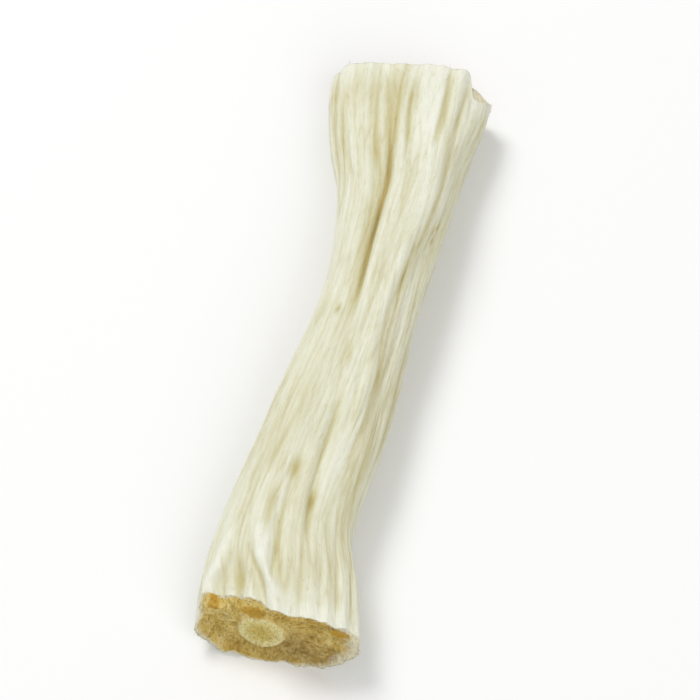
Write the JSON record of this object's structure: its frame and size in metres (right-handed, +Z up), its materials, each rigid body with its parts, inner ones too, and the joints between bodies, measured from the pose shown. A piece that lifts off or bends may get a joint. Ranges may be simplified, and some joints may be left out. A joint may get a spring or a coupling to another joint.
{
  "type": "shatavari root",
  "caption": "Peeled, dried length of root, furrowed along its length, narrow at the waist and flared at both cut ends, with a pale round core in the cut faces.",
  "frame": {"origin": "on the surface that the root lies on, under the middle of its length and width", "axes": "+Y along the root, from the cut end that shows its core to the fanned end; +X to the right seen from the first end; +Z up"},
  "size_m": [0.015, 0.0618, 0.0075],
  "materials": {
    "dried_root": "matt, dry and finely fibrous"
  },
  "bodies": {
    "root": {"dried_root": "dried_root"}
  },
  "joints": []
}
